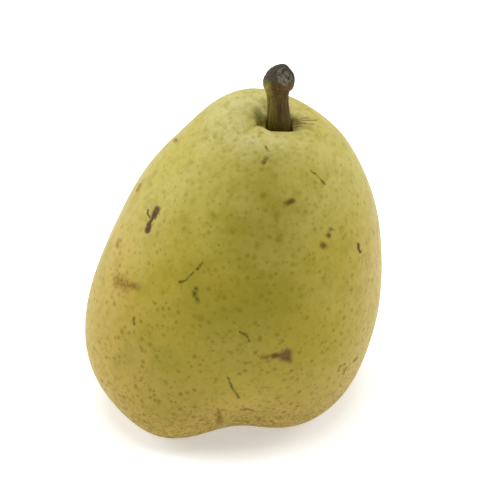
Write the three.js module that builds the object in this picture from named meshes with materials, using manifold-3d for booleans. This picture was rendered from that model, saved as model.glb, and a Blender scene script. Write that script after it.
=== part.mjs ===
// A short, stout winter pear that stands on the three low lobes of its base. Millimetres, +Z up.
// It has three pieces: the fruit, its thick woody stem, and the dried calyx in the hollow underneath.
// Fruit and stem start as round shapes, which are then swollen, folded, bent and leant.
import * as THREE from "three";
import { mergeVertices } from "three/addons/utils/BufferGeometryUtils.js";
import Module from "manifold-3d";

// One side of the round fruit as [radius, height], from the calyx hollow up the flank and down into the stem pit.
const FRUIT_OUTLINE = [
  [0, 8.5], [6, 7.4], [13, 2], [20, 0], [34, 8], [38.7, 26], [38.5, 44],
  [33.7, 62], [24, 78.2], [14.5, 87], [9.5, 88.7], [6.2, 89], [4.2, 88.1], [3.6, 85.9], [0, 85.5],
];
const FRUIT_SIDES = 80;
const FRUIT_ROW_GAP = 3.6;
const FRUIT_SPAN_ROWS = 2;

// Swellings and hollows of the flesh. Each is centred where a ray from the fruit's heart leaves it, at turn degrees
// round from +X and rise degrees up, fades out over spread degrees, and stands out by height millimetres.
const HEART_HEIGHT = 42;
const SWELLINGS = [
  { name: "left lobe", turn: -153, rise: -32, spread: 31, height: 8.4 },
  { name: "front left foot", turn: -120, rise: -45, spread: 15, height: 4.6 },
  { name: "flat of the right foot", turn: -6, rise: -72, spread: 23, height: -2.8 },
  { name: "back foot", turn: 125, rise: -62, spread: 22, height: 4.2 },
  { name: "groove between the front lobes", turn: -87, rise: -41, spread: 13, height: -3.6 },
  { name: "foot of that groove", turn: -84, rise: -62, spread: 13, height: -0.9 },
  { name: "groove behind the right foot", turn: 55, rise: -58, spread: 15, height: -1.4 },
  { name: "groove behind the left lobe", turn: 178, rise: -58, spread: 15, height: -1.4 },
  { name: "shoulder behind the stem", turn: 145, rise: 73, spread: 15, height: 3 },
  { name: "flat of the right flank", turn: -19, rise: 21, spread: 48, height: -3 },
  { name: "full back", turn: 60, rise: 5, spread: 45, height: 1.5 },
];

// Folds of the skin that run in to the stem and to the calyx. They are deepest at radius and fade out over reach,
// and stray is how far they wander, in radians, from being evenly spaced.
const STEM_FOLDS = { count: 9, depth: 0.3, radius: 7, reach: 4, stray: 1 };
const CALYX_FOLDS = { count: 5, depth: 0.7, radius: 9, reach: 6, stray: 1 };

// How the fruit stands: it leans to the right and nods to the front, and its feet are pressed flat by its weight.
const LEAN_DEG = 9.5;
const NOD_DEG = 3;
const FOOT_PRESS = 0.6;

// Stem: its outline as [radius, share of its length] from the root in the flesh to the scar at its end, and the
// points that steer its centreline, measured from the floor of the pit.
const STEM_OUTLINE = [
  [0, 0], [1.8, 0.012], [2.5, 0.07], [3.1, 0.27], [3, 0.38], [2.85, 0.5], [2.95, 0.62], [3.5, 0.74],
  [3.95, 0.84], [4, 0.91], [3.5, 0.97], [2.9, 1], [2.4, 0.99], [1.2, 0.975], [0, 0.97],
];
const STEM_ROOT_DEPTH = 7;
const STEM_LINE = [[-0.2, 0, -STEM_ROOT_DEPTH], [1, -0.3, 4.5], [-2, 1.6, 14.4], [1.5, -1.9, 17.4]];
const STEM_SIDES = 24;
const STEM_STEPS = 45;
const STEM_TIP_SHARE = 0.03;
const STEM_RIBS = { count: 5, height: 0.12, twist: 4, fade: 2 };
const STEM_BUMP = { turn: 190, share: 0.75, width: 0.1, spread: 55, height: 0.7 };

// Calyx: a cup with five curled sepals on its rim and five dry styles standing in it, along the fruit's own axis.
const CUP_OUTLINE = [
  [0, 4.5], [1.9, 4.3], [2.5, 3], [2.6, 0], [3.3, -1.3], [3.2, -2.1], [2.4, -2.1], [1.9, -0.8], [0, -0.5],
];
const CUP_SIDES = 20;
const SEPAL = {
  count: 5, root: 2.6, drop: 1.5, length: 5, thickness: 0.8, droop: 48, curl: 22, trough: 0.5,
  rootHalf: 1.2, bellyHalf: 1.9, bellyAt: 0.45, tipHalf: 0.3, smallest: 0.8, largest: 1,
};
const STYLE = { count: 5, ring: 0.85, radius: 0.35, taper: 0.8, length: 2.4, sides: 6 };

// Clear gap between a piece and the plain hole in the flesh that holds it.
const SOCKET_GAP = 0.3;
const CALYX_SOCKET_MOUTH = { flare: 1, below: 4 };

const COLOURS = { fruit: 0xb5aa4e, stem: 0x5d4a2a, calyx: 0x3f3020 };

// Vertices closer than this are one vertex.
const WELD = 1e-3;

const wasm = await Module();
wasm.setup();

const radians = THREE.MathUtils.degToRad;
const heart = new THREE.Vector3(0, 0, HEART_HEIGHT);

// A bell that is 1 at offset 0 and fades out over reach.
const bell = (offset, reach) => Math.exp(-((offset / reach) ** 2));

function direction(turnDeg, riseDeg) {
  const turn = radians(turnDeg);
  const rise = radians(riseDeg);
  return new THREE.Vector3(Math.cos(rise) * Math.cos(turn), Math.cos(rise) * Math.sin(turn), Math.sin(rise));
}

function toSolid(geometry) {
  const bare = geometry.clone();
  bare.deleteAttribute("normal");
  bare.deleteAttribute("uv");
  const merged = mergeVertices(bare, WELD);
  return new wasm.Manifold(new wasm.Mesh({
    numProp: 3,
    vertProperties: merged.attributes.position.array,
    triVerts: new Uint32Array(merged.index.array),
  }));
}

function toGeometry(solid) {
  const mesh = solid.getMesh();
  const geometry = new THREE.BufferGeometry();
  geometry.setAttribute("position", new THREE.BufferAttribute(mesh.vertProperties, 3));
  geometry.setIndex(new THREE.BufferAttribute(mesh.triVerts, 1));
  geometry.computeVertexNormals();
  return geometry;
}

// Moves every vertex of a geometry to where move() puts it.
function reshape(geometry, move) {
  const places = geometry.attributes.position;
  const point = new THREE.Vector3();
  for (let i = 0; i < places.count; i += 1) {
    move(point.fromBufferAttribute(places, i));
    places.setXYZ(i, point.x, point.y, point.z);
  }
  return geometry;
}

// Turns an outline of [radius, height] pairs round the upright axis.
function revolve(points, sides) {
  return new THREE.LatheGeometry(points, sides).rotateX(Math.PI / 2);
}

// Points along a smooth curve through an outline, no further apart than gap.
function smoothOutline(outline, gap) {
  const knots = outline.map(([radius, height]) => new THREE.Vector2(radius, height));
  const curve = new THREE.SplineCurve(knots);
  const spans = knots.length - 1;
  const points = [knots[0]];
  for (let span = 0; span < spans; span += 1) {
    const steps = Math.max(FRUIT_SPAN_ROWS, Math.ceil(knots[span].distanceTo(knots[span + 1]) / gap));
    for (let step = 1; step <= steps; step += 1) {
      points.push(curve.getPoint((span + step / steps) / spans));
    }
  }
  points[points.length - 1].x = 0;
  return points;
}

// Raises the folds that run in to the stem or the calyx, on the half of the fruit that they are on.
function fold(point, folds) {
  const radius = Math.hypot(point.x, point.y);
  const turn = Math.atan2(point.y, point.x);
  const wave = Math.cos(folds.count * turn + folds.stray * Math.sin(2 * turn));
  return folds.depth * wave * bell(radius - folds.radius, folds.reach) * Math.min(1, radius / folds.radius);
}

function swell(point) {
  point.z += point.z > HEART_HEIGHT ? fold(point, STEM_FOLDS) : fold(point, CALYX_FOLDS);
  const ray = point.clone().sub(heart).normalize();
  let height = 0;
  for (const swelling of SWELLINGS) {
    const away = THREE.MathUtils.radToDeg(ray.angleTo(direction(swelling.turn, swelling.rise)));
    height += swelling.height * bell(away, swelling.spread);
  }
  return point.addScaledVector(ray, height);
}

const stance = new THREE.Matrix4()
  .makeRotationY(radians(LEAN_DEG))
  .multiply(new THREE.Matrix4().makeRotationX(radians(NOD_DEG)));

function makeFruitSkin() {
  const skin = revolve(smoothOutline(FRUIT_OUTLINE, FRUIT_ROW_GAP), FRUIT_SIDES);
  reshape(skin, swell).applyMatrix4(stance);
  skin.computeBoundingBox();
  stance.premultiply(new THREE.Matrix4().makeTranslation(0, 0, -FOOT_PRESS - skin.boundingBox.min.z));
  skin.translate(0, 0, -FOOT_PRESS - skin.boundingBox.min.z);
  return reshape(skin, (point) => point.setZ(Math.max(point.z, 0)));
}

// The stem, its skin moved out by grow: the socket in the flesh is the same shape, grown by the gap.
function makeStem(grow) {
  const line = new THREE.CubicBezierCurve3(...STEM_LINE.map((place) => new THREE.Vector3(...place)));
  const up = new THREE.Vector3(0, 0, 1);
  const knots = STEM_OUTLINE.map(([radius, share]) => new THREE.Vector2(radius, share));
  const seat = new THREE.Vector3(0, 0, FRUIT_OUTLINE.at(-1)[1]).applyMatrix4(stance);
  return reshape(revolve(new THREE.SplineCurve(knots).getPoints(STEM_STEPS), STEM_SIDES), (point) => {
    const share = THREE.MathUtils.clamp(point.z, 0, 1);
    const radius = Math.hypot(point.x, point.y);
    const turn = Math.atan2(point.y, point.x);
    const aside = Math.atan2(Math.sin(turn - radians(STEM_BUMP.turn)), Math.cos(turn - radians(STEM_BUMP.turn)));
    const rib = STEM_RIBS.height * Math.cos(STEM_RIBS.count * turn + STEM_RIBS.twist * share);
    const onBump = bell(aside, radians(STEM_BUMP.spread)) * bell(share - STEM_BUMP.share, STEM_BUMP.width);
    const relief = (rib + STEM_BUMP.height * onBump) * Math.min(1, radius / STEM_RIBS.fade);
    const reach = radius > WELD ? radius + relief + grow : 0;
    const tangent = line.getTangent(share);
    const turned = new THREE.Quaternion().setFromUnitVectors(up, tangent);
    const out = new THREE.Vector3(Math.cos(turn), Math.sin(turn), 0).multiplyScalar(reach).applyQuaternion(turned);
    point.copy(line.getPoint(share)).add(out).add(seat);
    point.addScaledVector(tangent, -grow * bell(share, STEM_TIP_SHARE));
  });
}

// One sepal: a pointed blade that runs out along +X, droops from the cup's rim and curls back at its tip.
function makeSepal(scale) {
  const shape = new THREE.Shape();
  shape.moveTo(0, -SEPAL.rootHalf);
  shape.quadraticCurveTo(SEPAL.length * SEPAL.bellyAt, -SEPAL.bellyHalf, SEPAL.length, -SEPAL.tipHalf);
  shape.lineTo(SEPAL.length, SEPAL.tipHalf);
  shape.quadraticCurveTo(SEPAL.length * SEPAL.bellyAt, SEPAL.bellyHalf, 0, SEPAL.rootHalf);
  shape.closePath();
  const blade = new THREE.ExtrudeGeometry(shape, { depth: SEPAL.thickness, bevelEnabled: false, curveSegments: 6 });
  return reshape(blade.translate(0, 0, -SEPAL.thickness), (point) => {
    const along = (point.x / SEPAL.length) * scale;
    const bend = radians(SEPAL.droop - SEPAL.curl * along);
    const lift = point.z + SEPAL.trough * (point.y / SEPAL.bellyHalf) ** 2;
    const x = SEPAL.root + SEPAL.length * along * Math.cos(bend) + point.z * Math.sin(bend);
    const z = -SEPAL.drop - SEPAL.length * along * Math.sin(bend) + lift * Math.cos(bend);
    point.set(x, point.y * scale, z);
  });
}

function makeCalyx() {
  const spin = (2 * Math.PI) / SEPAL.count;
  let calyx = toSolid(revolve(CUP_OUTLINE.map((pair) => new THREE.Vector2(...pair)).reverse(), CUP_SIDES));
  for (let i = 0; i < SEPAL.count; i += 1) {
    const scale = THREE.MathUtils.lerp(SEPAL.smallest, SEPAL.largest, (i * 2) % SEPAL.count / (SEPAL.count - 1));
    calyx = calyx.add(toSolid(makeSepal(scale).rotateZ(spin * i)));
  }
  for (let i = 0; i < STYLE.count; i += 1) {
    const style = new THREE.CylinderGeometry(STYLE.radius, STYLE.radius * STYLE.taper, STYLE.length, STYLE.sides)
      .rotateX(Math.PI / 2)
      .translate(STYLE.ring, 0, -STYLE.length / 2)
      .rotateZ(spin * (i + 0.5));
    calyx = calyx.add(toSolid(style));
  }
  return calyx;
}

// The hole for the calyx's root: the part of the cup above its seat, grown by the gap, with an open mouth below.
function makeCalyxSocket() {
  const root = CUP_OUTLINE.filter(([, height]) => height >= 0);
  const wall = root.slice(1).map(([radius, height]) => new THREE.Vector2(radius + SOCKET_GAP, height));
  const roof = root[0][1] + SOCKET_GAP;
  const mouth = new THREE.Vector2(wall.at(-1).x + CALYX_SOCKET_MOUTH.flare, -CALYX_SOCKET_MOUTH.below);
  const outline = [new THREE.Vector2(0, roof), new THREE.Vector2(wall[0].x, roof), ...wall, mouth];
  outline.push(new THREE.Vector2(0, mouth.y));
  return revolve(outline.reverse(), CUP_SIDES);
}

const skin = makeFruitSkin();
const atCalyx = stance.clone().multiply(new THREE.Matrix4().makeTranslation(0, 0, FRUIT_OUTLINE[0][1]));
const solids = {
  fruit: toSolid(skin)
    .subtract(toSolid(makeStem(SOCKET_GAP)))
    .subtract(toSolid(makeCalyxSocket().applyMatrix4(atCalyx))),
  stem: toSolid(makeStem(0)),
  calyx: toSolid(toGeometry(makeCalyx()).applyMatrix4(atCalyx)),
};

const pear = new THREE.Group();
for (const [name, solid] of Object.entries(solids)) {
  const material = new THREE.MeshStandardMaterial({ color: COLOURS[name], roughness: 0.6, metalness: 0 });
  const piece = new THREE.Mesh(toGeometry(solid), material);
  piece.name = name;
  pear.add(piece);
}

// The origin is on the surface that the pear stands on, under the middle of the whole pear.
const middle = new THREE.Box3().setFromObject(pear).getCenter(new THREE.Vector3());
pear.position.set(-middle.x, -middle.y, 0);

export default pear;
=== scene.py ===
"""A short, stout winter pear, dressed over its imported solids: the skin, the woody stem and the dried calyx.

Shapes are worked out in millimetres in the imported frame, and become metres as each mesh is finished.
+Z is up, the pear leans to +X, and -Y faces the viewer. Turns are degrees round from +X, and rises are
degrees up.
"""

import logging
import math
from collections.abc import Callable
from dataclasses import dataclass
from enum import Enum

import bmesh
import bpy
import numpy as np
from mathutils import Matrix, Vector, noise
from mathutils.bvhtree import BVHTree


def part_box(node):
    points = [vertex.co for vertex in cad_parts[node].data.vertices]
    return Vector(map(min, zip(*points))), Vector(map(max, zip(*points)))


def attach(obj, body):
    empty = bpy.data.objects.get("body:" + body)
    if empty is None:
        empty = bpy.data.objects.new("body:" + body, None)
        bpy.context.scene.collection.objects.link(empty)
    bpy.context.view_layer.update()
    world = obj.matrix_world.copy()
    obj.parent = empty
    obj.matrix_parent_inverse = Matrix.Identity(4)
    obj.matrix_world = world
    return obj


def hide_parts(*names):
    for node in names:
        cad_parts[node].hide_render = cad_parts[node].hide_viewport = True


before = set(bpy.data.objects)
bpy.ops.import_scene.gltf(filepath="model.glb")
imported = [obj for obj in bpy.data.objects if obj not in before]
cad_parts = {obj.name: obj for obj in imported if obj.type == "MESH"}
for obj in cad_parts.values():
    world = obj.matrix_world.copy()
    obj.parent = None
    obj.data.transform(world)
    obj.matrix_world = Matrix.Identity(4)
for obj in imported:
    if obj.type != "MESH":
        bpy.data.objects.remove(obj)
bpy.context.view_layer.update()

LOG = logging.getLogger("pear")
MM = 0.001
WELD = 1e-4
Pair = tuple[float, float]
Triple = tuple[float, float, float]


def bell(offset: np.ndarray | float, reach: float) -> np.ndarray | float:
    """A bell that is 1 at offset 0 and fades out over reach."""
    return np.exp(-((offset / reach) ** 2))


def ease(value: np.ndarray, low: float, high: float) -> np.ndarray:
    """Rises smoothly from 0 at low to 1 at high."""
    share = np.clip((value - low) / (high - low), 0, 1)
    return share * share * (3 - 2 * share)


def direction(turn: float, rise: float) -> np.ndarray:
    """The unit vector at a turn and a rise in degrees."""
    turn, rise = math.radians(turn), math.radians(rise)
    return np.array((math.cos(rise) * math.cos(turn), math.cos(rise) * math.sin(turn), math.sin(rise)))


def smooth_line(knots: list[Pair], gap: float, least: int) -> list[Pair]:
    """Runs a smooth curve through an outline's points.

    Args:
        knots: The outline's [radius, height] points, in millimetres.
        gap: The widest gap between two points of the curve.
        least: The fewest steps between two knots.

    Returns:
        The points of the curve, with its first and last knot.
    """
    line = [knots[0]]
    ends = np.array([knots[0], *knots, knots[-1]], float)
    for before, start, end, after in zip(ends, ends[1:], ends[2:], ends[3:]):
        leaving, arriving = (end - before) / 2, (after - start) / 2
        steps = max(least, math.ceil(np.linalg.norm(end - start) / gap))
        for t in np.linspace(0, 1, steps + 1)[1:]:
            curve = (2 * start - 2 * end + leaving + arriving) * t**3
            curve += (3 * end - 3 * start - 2 * leaving - arriving) * t**2
            line.append(tuple(curve + leaving * t + start))
    return line


def turn_outline(outline: list[Pair], sides: int) -> bmesh.types.BMesh:
    """Turns an outline whose two ends are on the axis round it, into a closed skin.

    Args:
        outline: The [radius, height] points, in millimetres.
        sides: How many steps a full turn has.

    Returns:
        The skin, with its seam and poles closed and its faces outwards.
    """
    skin = bmesh.new()
    corners = [skin.verts.new((max(radius, 0), 0, height)) for radius, height in outline]
    edges = [skin.edges.new(pair) for pair in zip(corners, corners[1:])]
    bmesh.ops.spin(
        skin,
        geom=corners + edges,
        axis=(0, 0, 1),
        cent=(0, 0, 0),
        angle=math.tau,
        steps=sides,
        use_merge=True,
    )
    bmesh.ops.remove_doubles(skin, verts=skin.verts, dist=WELD)
    bmesh.ops.recalc_face_normals(skin, faces=skin.faces)
    return skin


def positions(mesh: bpy.types.Mesh) -> np.ndarray:
    """Reads the mesh's vertices.

    Args:
        mesh: The mesh to read.

    Returns:
        Its vertices, as rows of x, y and z.
    """
    flat = np.empty(len(mesh.vertices) * 3)
    mesh.vertices.foreach_get("co", flat)
    return flat.reshape(-1, 3)


def finish_piece(
    name: str, mesh: bpy.types.Mesh, points: np.ndarray, node: str
) -> bpy.types.Object:
    """Puts a mesh where its points say, in metres, as a piece that stands for a CAD node.

    Args:
        name: The piece's name.
        mesh: The mesh to use.
        points: Where its vertices go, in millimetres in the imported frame.
        node: The CAD node that the piece replaces, and whose box it keeps inside.

    Returns:
        The piece, at the origin and riding on the only body.
    """
    low, high = (np.array(corner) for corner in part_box(node))
    mesh.vertices.foreach_set("co", np.clip(points * MM, low, high).ravel())
    mesh.polygons.foreach_set("use_smooth", [True] * len(mesh.polygons))
    mesh.update()
    piece = bpy.data.objects.new(name, mesh)
    bpy.context.scene.collection.objects.link(piece)
    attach(piece, "root")
    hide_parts(node)
    LOG.info("%s: %d faces in place of %s", name, len(mesh.polygons), node)
    return piece


@dataclass(frozen=True)
class Swelling:
    """A soft swelling of the flesh seen from the fruit's heart, or a hollow where its height is negative."""

    name: str
    turn: float
    rise: float
    spread: float
    height: float


@dataclass(frozen=True)
class Folds:
    """Folds that run in to the stem or the calyx, deepest at radius and fading out over reach."""

    count: int
    depth: float
    radius: float
    reach: float
    stray: float

    def raise_by(self, radius: np.ndarray, turn: np.ndarray) -> np.ndarray:
        """Works out how far the folds lift the flesh.

        Args:
            radius: Each point's distance from the axis, in millimetres.
            turn: Its turn round the axis, in radians.

        Returns:
            How far each point is lifted, in millimetres.
        """
        wave = np.cos(self.count * turn + self.stray * np.sin(2 * turn))
        fade = bell(radius - self.radius, self.reach) * np.minimum(1, radius / self.radius)
        return self.depth * wave * fade


@dataclass(frozen=True)
class Growth:
    """How the round fruit grows lopsided, and how it leans and stands."""

    heart: float = 42
    lean: float = 9.5
    nod: float = 3
    foot_press: float = 0.6
    stem_folds: Folds = Folds(9, 0.3, 7, 4, 1)
    calyx_folds: Folds = Folds(5, 0.7, 9, 6, 1)
    swellings: tuple[Swelling, ...] = (
        Swelling("left lobe", -153, -32, 31, 8.4),
        Swelling("front left foot", -120, -45, 15, 4.6),
        Swelling("flat of the right foot", -6, -72, 23, -2.8),
        Swelling("back foot", 125, -62, 22, 4.2),
        Swelling("groove between the front lobes", -87, -41, 13, -3.6),
        Swelling("foot of that groove", -84, -62, 13, -0.9),
        Swelling("groove behind the right foot", 55, -58, 15, -1.4),
        Swelling("groove behind the left lobe", 178, -58, 15, -1.4),
        Swelling("shoulder behind the stem", 145, 73, 15, 3),
        Swelling("flat of the right flank", -19, 21, 48, -3),
        Swelling("full back", 60, 5, 45, 1.5),
    )
    # These are too slight for the solids, so only the dressed fruit has them.
    touches: tuple[Swelling, ...] = (
        Swelling("trim of the left lobe", -128, -44, 12, -0.6),
        Swelling("fullness of the right lobe", -48, -42, 20, 0.6),
        Swelling("fullness of the right shoulder", -20, 42, 25, 0.4),
    )

    def swell(self, points: np.ndarray) -> np.ndarray:
        """Folds the ends of the round fruit and pushes its flesh out and in.

        Args:
            points: Points of the round fruit.

        Returns:
            The same points on the lopsided fruit, still upright.
        """
        radius, turn = np.hypot(points[:, 0], points[:, 1]), np.arctan2(points[:, 1], points[:, 0])
        upper = points[:, 2] > self.heart
        grown = points.copy()
        grown[:, 2] += np.where(
            upper, self.stem_folds.raise_by(radius, turn), self.calyx_folds.raise_by(radius, turn)
        )
        return self.push(grown, self.swellings)

    def push(self, points: np.ndarray, swellings: tuple[Swelling, ...]) -> np.ndarray:
        """Pushes points away from the heart.

        Args:
            points: Points of the upright fruit.
            swellings: The swellings and hollows to add up.

        Returns:
            The same points, pushed out and in.
        """
        ray = points - (0, 0, self.heart)
        ray /= np.linalg.norm(ray, axis=1, keepdims=True)
        height = np.zeros(len(points))
        for swelling in swellings:
            away = np.degrees(np.arccos(np.clip(ray @ direction(swelling.turn, swelling.rise), -1, 1)))
            height += swelling.height * bell(away, swelling.spread)
        return points + ray * height[:, None]

    def stance(self) -> np.ndarray:
        """The turn from the upright fruit to the standing one, as a 3 by 3 matrix."""
        lean = Matrix.Rotation(math.radians(self.lean), 3, "Y")
        return np.array(lean @ Matrix.Rotation(math.radians(self.nod), 3, "X"))


@dataclass
class Ground:
    """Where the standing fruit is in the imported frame."""

    stance: np.ndarray
    shift: np.ndarray

    def place(self, points: np.ndarray) -> np.ndarray:
        """Takes points of the upright fruit to where they are as it stands."""
        return np.atleast_2d(points) @ self.stance.T + self.shift


@dataclass(frozen=True)
class Viewpoint:
    """Where the pear is seen from, and how pixels of the 500-pixel view meet it."""

    rise: float = 33
    distance: float = 650
    aim: Triple = (4.58, 1.3, 43.85)
    scale: float = 0.2792
    frame_px: int = 500
    press: float = 0.75

    def axes(self) -> tuple[np.ndarray, np.ndarray, np.ndarray]:
        """Works out how the view is turned.

        Returns:
            Its right, up and backward directions.
        """
        back = direction(-90, self.rise)
        right = np.array((1.0, 0.0, 0.0))
        return right, np.cross(back, right), back

    def eye(self) -> np.ndarray:
        """The place that the view is taken from, in millimetres."""
        return np.array(self.aim) + self.axes()[2] * self.distance

    def ray(self, pixel: Pair) -> np.ndarray:
        """Aims through a pixel of the view.

        Args:
            pixel: The pixel, counted right and down from the view's top left corner.

        Returns:
            The unit direction from the eye through it.
        """
        right, up, back = self.axes()
        across, over = pixel[0] - self.frame_px / 2, self.frame_px / 2 - pixel[1]
        ray = (right * across + up * over) * self.scale - back * self.distance
        return ray / np.linalg.norm(ray)

    def flatten(self, points: np.ndarray) -> np.ndarray:
        """Presses points together along the view, so that a mark keeps the width that the view shows."""
        back = self.axes()[2]
        return points - self.press * (points @ back)[..., None] * back

    def make_camera(self, sensor: float = 36) -> None:
        """Makes the scene's camera here.

        Args:
            sensor: The width of its sensor, in millimetres.
        """
        camera = bpy.data.cameras.new("camera")
        camera.sensor_width = sensor
        camera.lens = sensor * self.distance / (self.scale * self.frame_px)
        camera.clip_end = 20
        holder = bpy.data.objects.new("camera", camera)
        bpy.context.scene.collection.objects.link(holder)
        holder.location = self.eye() * MM
        holder.rotation_euler = Vector(self.axes()[2]).to_track_quat("Z", "Y").to_euler()
        bpy.context.scene.camera = holder


class Tone(Enum):
    """What kind of mark the skin carries, or where shade is painted on it."""

    SCAR = "scar"
    BROWN = "brown"
    RUSSET = "russet"
    OLIVE = "olive"
    # Painted shade in the creases round the stem, with their own brown tint.
    CREASE_SHADE = "crease"
    # Painted shade: the front that faces the view and the folds left of the stem, darkened and greened,
    # partly their own green.
    PAINTED_SHADE = "shade"


@dataclass(frozen=True)
class Mark:
    """A mark on the skin, or painted shade on it, along pixels of the view, with its width in pixels and
    depth in millimetres.
    """

    name: str
    tone: Tone
    path: tuple[Pair, ...]
    width: float
    depth: float = 0.0


MARKS = (
    Mark("forked scar, head", Tone.SCAR, ((157, 209), (154, 216)), 6.5, 0.25),
    Mark("forked scar, neck", Tone.SCAR, ((154, 216), (149, 224)), 3.2, 0.2),
    Mark("forked scar, foot", Tone.SCAR, ((149, 225), (147.5, 231)), 5.5, 0.25),
    Mark("forked scar, arm", Tone.SCAR, ((150, 218), (147.5, 214), (147.8, 210)), 1.6, 0.1),
    Mark("bow scar, left", Tone.RUSSET, ((264, 357), (275, 356)), 5, 0.1),
    Mark("bow scar, knot", Tone.BROWN, ((274, 356), (283, 355)), 5, 0.15),
    Mark("bow scar, right", Tone.BROWN, ((281, 355.5), (288, 352), (288.5, 359), (282, 357)), 6.5, 0.2),
    Mark("rubbed patch, left", Tone.RUSSET, ((119, 281), (125, 285)), 11, 0.05),
    Mark("rubbed patch, right", Tone.RUSSET, ((128, 285), (137, 287)), 7, 0.05),
    Mark("cut, upper", Tone.OLIVE, ((228, 378), (232, 387)), 2.2, 0.1),
    Mark("cut, lower", Tone.OLIVE, ((231.5, 386), (234, 390.5), (238.5, 397)), 2.6, 0.15),
    Mark("upper tick", Tone.OLIVE, ((197, 269), (200, 265), (203, 263)), 2.6),
    Mark("slanted stroke", Tone.OLIVE, ((180, 282), (186, 280), (193, 273)), 2.4),
    Mark("middle blot", Tone.OLIVE, ((196, 289), (195, 295)), 5),
    Mark("middle blot, low", Tone.OLIVE, ((197, 299), (198, 301)), 4),
    Mark("tick under the stem", Tone.OLIVE, ((263.5, 163), (266, 158)), 4.2),
    Mark("dash over that tick", Tone.OLIVE, ((265, 146), (268, 151)), 2),
    Mark("spot right of the middle", Tone.BROWN, ((289.5, 202), (290.5, 202)), 3.4),
    Mark("smear at that spot", Tone.OLIVE, ((287, 203), (293, 201)), 5),
    Mark("right spot, upper", Tone.OLIVE, ((330, 229.2), (331, 229.2)), 3.4),
    Mark("right spot, middle", Tone.OLIVE, ((328, 235), (329, 235.5)), 4.6),
    Mark("right spot, lower", Tone.BROWN, ((322.5, 245), (324, 246)), 5),
    Mark("edge stroke", Tone.SCAR, ((358.5, 244), (358.5, 249), (360, 252)), 2.8),
    Mark("faint scratch", Tone.OLIVE, ((311, 171), (318, 176), (325, 184)), 1.6),
    Mark("left edge patch", Tone.RUSSET, ((140, 185), (137.5, 190)), 3.6),
    Mark("left curl", Tone.RUSSET, ((119, 240), (117, 243), (118, 247)), 3.4),
    Mark("lower left tick", Tone.OLIVE, ((133.6, 318.5), (134.4, 324)), 2.8),
    Mark("scribble", Tone.OLIVE, ((240, 332), (246, 335), (249, 341)), 2),
    Mark("low line", Tone.RUSSET, ((241, 410), (248, 409), (254, 411)), 2.2),
    Mark("streak in the groove", Tone.RUSSET, ((218.5, 411), (220.5, 422)), 4.5),
    Mark("low right curl", Tone.RUSSET, ((338.5, 371), (340, 366), (345, 364)), 2),
    Mark("low right dash", Tone.RUSSET, ((346.5, 367), (343.5, 374)), 2),
    Mark("low right flecks", Tone.RUSSET, ((354, 361), (357, 358)), 3),
    Mark("high left spot", Tone.OLIVE, ((175, 140), (176, 141)), 3.6),
    # Painted shadow beside the stem and painted shade in the creases round it, browned; the creases are also
    # sunk.
    Mark("brownish painted shadow right of the stem", Tone.CREASE_SHADE, ((293, 120.5), (298, 121.5)), 6.5),
    Mark("crease right, upper", Tone.CREASE_SHADE, ((295, 120), (302, 118.5), (309, 118)), 1.2, 0.12),
    Mark("crease right, middle", Tone.CREASE_SHADE, ((295, 122), (304, 120.5), (316, 120)), 1.6, 0.2),
    Mark("crease right, lower", Tone.CREASE_SHADE, ((295, 124.5), (302, 123.5), (314, 124)), 1.3, 0.15),
    Mark("crease right, low", Tone.CREASE_SHADE, ((295, 127.5), (302, 126)), 1, 0.05),
    # Painted shade in the folds left of the stem, which are also sunk into the flesh.
    Mark("fold left, upper", Tone.PAINTED_SHADE, ((261, 118.5), (249, 117.5)), 2.5, 0.15),
    Mark("crease left, deep", Tone.CREASE_SHADE, ((263, 125), (255, 125.5)), 1.6, 0.15),
    Mark("fold left, deep", Tone.PAINTED_SHADE, ((262.5, 124.5), (254, 125.5), (247, 131)), 4.5, 0.35),
    Mark("fold left, low", Tone.PAINTED_SHADE, ((262, 132), (258, 137)), 2, 0.12),
    # Painted shade: the front facing the view is darkened and greened, partly its own green.
    Mark("green and painted shade of the front, high", Tone.PAINTED_SHADE, ((262, 182), (268, 200)), 34),
    Mark("green and painted shade of the front, middle", Tone.PAINTED_SHADE, ((240, 235), (268, 228)), 44),
    Mark("green and painted shade of the front, left", Tone.PAINTED_SHADE, ((186, 276), (200, 292)), 20),
    Mark("green and painted shade of the front, low", Tone.PAINTED_SHADE, ((215, 315), (275, 300)), 42),
)


@dataclass(frozen=True)
class Stroke:
    """One leg of a mark on the skin: its ends, pressed flat along the view, and its width in millimetres."""

    mark: Mark
    start: np.ndarray
    end: np.ndarray
    width: float

    def distance(self, points: np.ndarray) -> np.ndarray:
        """Measures how far points are from the leg's middle line.

        Args:
            points: The points, pressed flat along the view.

        Returns:
            Their distances, in millimetres.
        """
        span = self.end - self.start
        along = np.clip((points - self.start) @ span / (span @ span + WELD), 0, 1)
        return np.linalg.norm(points - self.start - along[:, None] * span, axis=1)


@dataclass(frozen=True)
class Dots:
    """Round dots strewn through space, some of which a surface cuts, with their sizes in millimetres."""

    spacing: float
    smallest: float
    largest: float
    missing: float
    shift: Triple = (0, 0, 0)


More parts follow.
